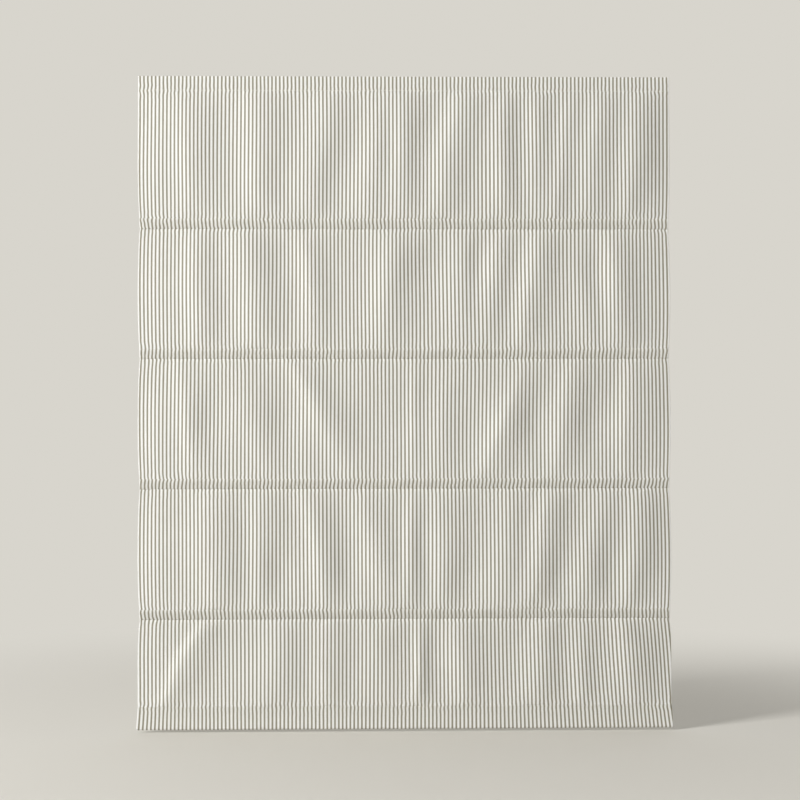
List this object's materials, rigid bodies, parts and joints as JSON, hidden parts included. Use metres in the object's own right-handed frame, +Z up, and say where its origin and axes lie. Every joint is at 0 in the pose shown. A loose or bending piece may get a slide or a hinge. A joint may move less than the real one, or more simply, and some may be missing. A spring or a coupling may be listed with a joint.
{
  "type": "roman blind",
  "caption": "Flat roman blind in ticking stripe, fully lowered, with rod pockets and a hem bar on a sprung cordless headrail.",
  "frame": {"origin": "centre of the four screw holes of the two end brackets, on the mounting plane above the headrail", "axes": "+X to the right seen from the room, +Y towards the window, +Z up; the cloth faces -Y"},
  "size_m": [1.2052, 0.0561, 1.4697],
  "materials": {
    "ticking_cloth": "woven cotton ticking, fine even stripe of ivory and olive taupe, matt",
    "rail_metal": "extruded aluminium, white powder coat inside and out",
    "bracket_steel": "zinc plated spring steel",
    "shaft_steel": "drawn square bar, bright",
    "bar_metal": "mill finish flat bar",
    "white_moulding": "white moulded nylon, fine grain",
    "spool_moulding": "pale grey acetal, satin",
    "motor_moulding": "dark grey glass filled nylon",
    "spring_steel": "blued spring steel ribbon",
    "woven_tape": "plain woven white polyester tape",
    "hook_loop": "white hook and loop tape",
    "glass_fibre": "pultruded glass fibre rod, translucent white",
    "cord_braid": "braided polyester cord"
  },
  "bodies": {
    "headrail": {"headrail": "rail_metal", "end_cap_left": "white_moulding", "end_cap_right": "white_moulding", "mounting_bracket_left": "bracket_steel", "mounting_bracket_middle": "bracket_steel", "mounting_bracket_right": "bracket_steel", "hook_tape": "hook_loop", "loop_tape": "hook_loop", "spool_cradle_left": "white_moulding", "spool_cradle_centre": "white_moulding", "spool_cradle_right": "white_moulding", "motor_case": "motor_moulding", "motor_cover": "motor_moulding", "spring_ribbon": "spring_steel", "face_fabric": "ticking_cloth", "lift_cord_left": "cord_braid", "lift_cord_centre": "cord_braid", "lift_cord_right": "cord_braid"},
    "lift_shaft": {"drive_shaft": "shaft_steel", "cord_spool_left": "spool_moulding", "cord_spool_centre": "spool_moulding", "cord_spool_right": "spool_moulding", "output_drum": "spool_moulding"},
    "storage_drum": {"storage_drum": "spool_moulding"},
    "hem_bar": {"bottom_bar": "bar_metal", "bar_cap_left": "white_moulding", "bar_cap_right": "white_moulding", "cord_anchors": "white_moulding"},
    "rod_row_1": {"rod_1": "glass_fibre", "rod_tips_1": "white_moulding", "pocket_tape_1": "woven_tape", "cord_rings_1": "spool_moulding"},
    "rod_row_2": {"rod_2": "glass_fibre", "rod_tips_2": "white_moulding", "pocket_tape_2": "woven_tape", "cord_rings_2": "spool_moulding"},
    "rod_row_3": {"rod_3": "glass_fibre", "rod_tips_3": "white_moulding", "pocket_tape_3": "woven_tape", "cord_rings_3": "spool_moulding"},
    "rod_row_4": {"rod_4": "glass_fibre", "rod_tips_4": "white_moulding", "pocket_tape_4": "woven_tape", "cord_rings_4": "spool_moulding"}
  },
  "joints": [
    {"name": "lift", "type": "slide", "parent": "headrail", "child": "hem_bar", "axis": [0, 0, 1], "range_m": [0, 1.1521], "deforming": ["face_fabric", "lift_cord_left", "lift_cord_centre", "lift_cord_right", "spring_ribbon"]},
    {"name": "rod_rise_1", "type": "slide", "parent": "headrail", "child": "rod_row_1", "axis": [0, 0, 1], "range_m": [0, 0.264]},
    {"name": "rod_rise_2", "type": "slide", "parent": "headrail", "child": "rod_row_2", "axis": [0, 0, 1], "range_m": [0, 0.505]},
    {"name": "rod_rise_3", "type": "slide", "parent": "headrail", "child": "rod_row_3", "axis": [0, 0, 1], "range_m": [0, 0.746]},
    {"name": "rod_rise_4", "type": "slide", "parent": "headrail", "child": "rod_row_4", "axis": [0, 0, 1], "range_m": [0, 0.987]},
    {"name": "shaft_turn", "type": "hinge", "parent": "headrail", "child": "lift_shaft", "pos_m": [0, -0.0043, -0.0194], "axis": [1, 0, 0], "range_deg": [-5951.89, 0]},
    {"name": "drum_turn", "type": "hinge", "parent": "headrail", "child": "storage_drum", "pos_m": [0, 0.0121, -0.0194], "axis": [1, 0, 0], "range_deg": [0, 7117.94]}
  ],
  "couplings": [
    {"joint": "rod_rise_1", "follows": "lift", "ratio": 0.22871},
    {"joint": "rod_rise_2", "follows": "lift", "ratio": 0.4379},
    {"joint": "rod_rise_3", "follows": "lift", "ratio": 0.64708},
    {"joint": "rod_rise_4", "follows": "lift", "ratio": 0.85626},
    {"joint": "shaft_turn", "follows": "lift", "rad_per_m": -90.09},
    {"joint": "drum_turn", "follows": "lift", "rad_per_m": 107.75}
  ]
}
